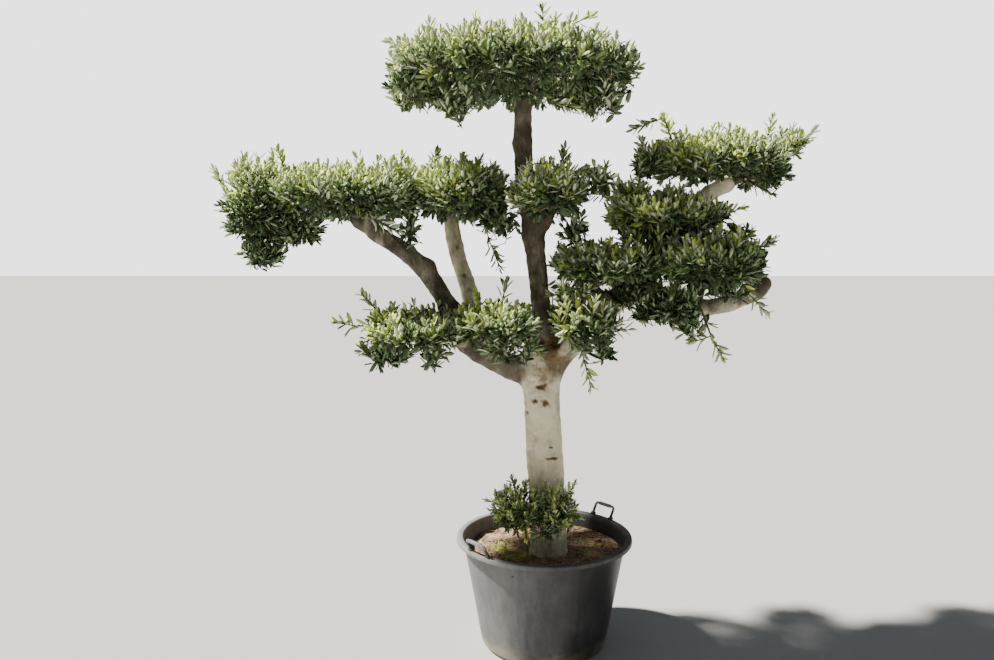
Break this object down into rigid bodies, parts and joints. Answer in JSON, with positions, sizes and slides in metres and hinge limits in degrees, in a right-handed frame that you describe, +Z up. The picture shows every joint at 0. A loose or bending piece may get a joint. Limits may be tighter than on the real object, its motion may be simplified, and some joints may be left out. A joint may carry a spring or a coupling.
{
  "type": "potted olive tree",
  "caption": "Cloud-pruned olive tree with flat leafy pads on bent boughs above one pale trunk, growing in a round black nursery tub with two loop handles.",
  "frame": {"origin": "centre of the tub's flat underside, level with the ground", "axes": "+Z up the plant, +X to the right of the picture, -Y towards its camera"},
  "size_m": [2.3931, 1.0156, 2.4961],
  "materials": {
    "tub": "matt black plastic, scuffed and dusty",
    "handles": "matt dark plastic with a greyer grip",
    "soil": "dry brown potting soil",
    "bark_pale": "pale smooth olive bark with old scars",
    "bark_grey": "grey-brown knobbly olive bark",
    "leaves": "grey-green leathery leaves, silvery below"
  },
  "bodies": {
    "root": {"pot": "tub", "handle_right": "handles", "handle_left": "handles", "soil": "soil", "trunk": "bark_pale", "leader": "bark_grey", "left_bough_lower": "bark_grey", "left_bough_upper": "bark_grey", "second_bough": "bark_pale", "right_bough": "bark_grey", "right_bough_outer": "bark_grey", "right_bough_return": "bark_grey", "right_upper_bough": "bark_pale", "lower_left_spur": "bark_grey", "centre_spur": "bark_grey", "mid_right_spur": "bark_grey", "right_inner_spur": "bark_grey", "right_mid_spur": "bark_grey", "top_pad": "leaves", "left_pad": "leaves", "mid_left_pad": "leaves", "mid_right_pad": "leaves", "lower_left_pad": "leaves", "centre_pad": "leaves", "right_inner_pad": "leaves", "right_outer_pad": "leaves", "right_mid_pad": "leaves", "right_upper_pad": "leaves", "left_sprouts": "leaves", "right_sprouts": "leaves"}
  },
  "joints": []
}
